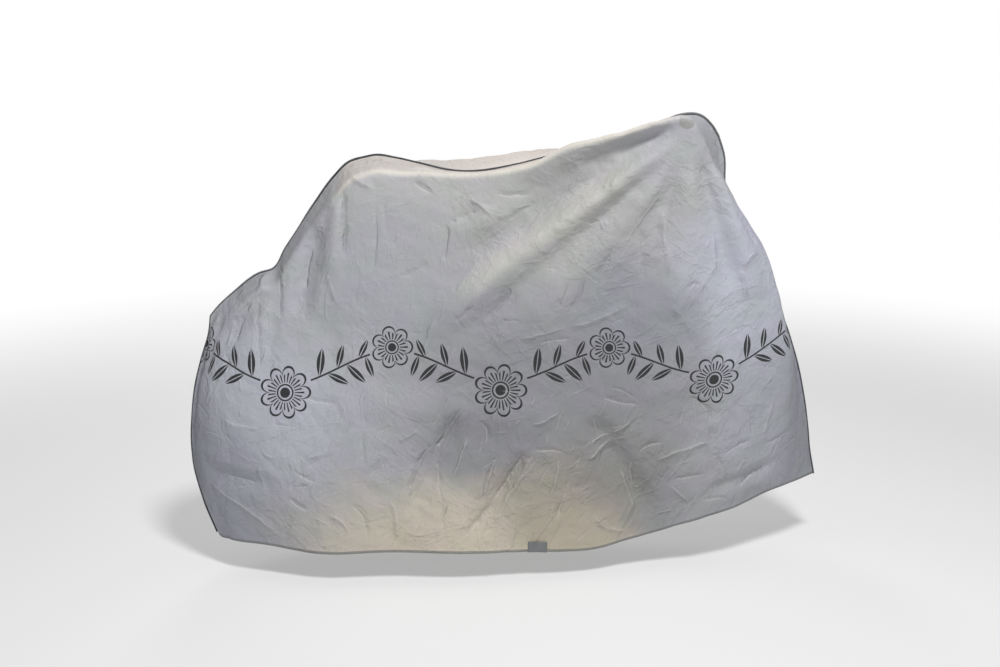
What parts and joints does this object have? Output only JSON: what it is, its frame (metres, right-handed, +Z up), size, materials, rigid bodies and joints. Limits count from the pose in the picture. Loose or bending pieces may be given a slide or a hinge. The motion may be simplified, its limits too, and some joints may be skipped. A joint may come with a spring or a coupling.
{
  "type": "bicycle cover",
  "caption": "Thin grey film cover hanging over a bicycle shape, hollow and open below, with a bound seam over the top and a printed band along each side.",
  "frame": {"origin": "on the underside of the cover where it rests on the saddle, on the seam's line", "axes": "+X from the rear of the cover to its front, +Y to its left side, +Z up"},
  "size_m": [1.6375, 0.4982, 1.0905],
  "materials": {
    "film": "silvery grey plastic film with a soft sheen, finely crumpled",
    "binding": "dark grey woven binding tape",
    "patch": "dull dark grey film"
  },
  "bodies": {
    "root": {"right_panel": "film", "left_panel": "film", "seam_binding": "binding", "hem_patch": "patch"}
  },
  "joints": []
}
